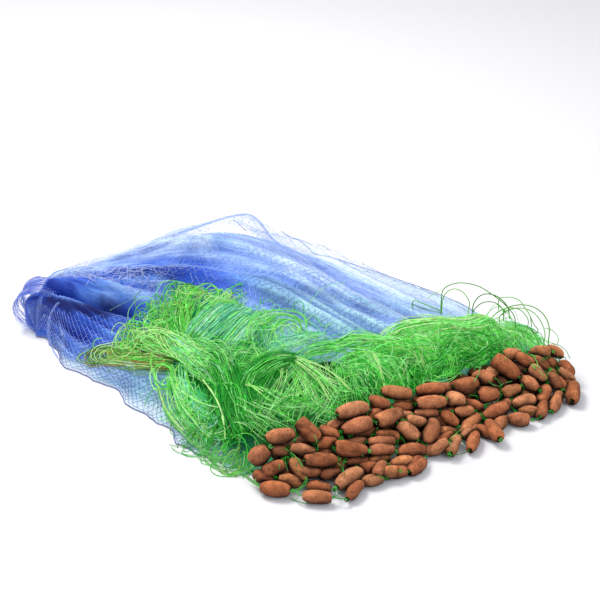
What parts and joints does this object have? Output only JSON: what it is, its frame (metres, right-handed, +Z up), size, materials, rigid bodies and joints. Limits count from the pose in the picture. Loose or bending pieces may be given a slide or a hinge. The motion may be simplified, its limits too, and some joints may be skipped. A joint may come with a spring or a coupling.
{
  "type": "gill net",
  "caption": "Gathered gill net: folded blue monofilament netting, its green sinker line heaped in loops, and clay sinkers closed up in a bank.",
  "frame": {"origin": "middle of the underside of the whole heap", "axes": "+Z up, +X from the netting's folded end towards the right end of the bank of sinkers, -Y towards the side the sinkers face"},
  "size_m": [0.7362, 0.5982, 0.1051],
  "materials": {
    "netting": "blue nylon monofilament mesh, sheer where single and deep blue where folded",
    "selvedge": "thin blue-grey twisted cord, matte",
    "line": "bright green monofilament line, glossy, partly translucent",
    "clay": "unglazed fired clay, fine-grained and matte"
  },
  "bodies": {
    "root": {"line_hank_front": "line", "line_hank_left": "line", "line_hank_right": "line", "netting": "netting", "selvedge_back": "selvedge", "selvedge_front": "selvedge", "sinker_01": "clay", "sinker_02": "clay", "sinker_03": "clay", "sinker_04": "clay", "sinker_05": "clay", "sinker_06": "clay", "sinker_07": "clay", "sinker_08": "clay", "sinker_09": "clay", "sinker_10": "clay", "sinker_11": "clay", "sinker_12": "clay", "sinker_13": "clay", "sinker_14": "clay", "sinker_15": "clay", "sinker_16": "clay", "sinker_17": "clay", "sinker_18": "clay", "sinker_19": "clay", "sinker_20": "clay", "sinker_21": "clay", "sinker_22": "clay", "sinker_23": "clay", "sinker_24": "clay", "sinker_25": "clay", "sinker_26": "clay", "sinker_27": "clay", "sinker_28": "clay", "sinker_29": "clay", "sinker_30": "clay", "sinker_31": "clay", "sinker_32": "clay", "sinker_33": "clay", "sinker_34": "clay", "sinker_35": "clay", "sinker_36": "clay", "sinker_37": "clay", "sinker_38": "clay", "sinker_39": "clay", "sinker_40": "clay", "sinker_41": "clay", "sinker_42": "clay", "sinker_43": "clay", "sinker_44": "clay", "sinker_45": "clay", "sinker_46": "clay", "sinker_47": "clay", "sinker_48": "clay", "sinker_49": "clay", "sinker_50": "clay", "sinker_51": "clay", "sinker_52": "clay", "sinker_bed": "clay"}
  },
  "joints": []
}
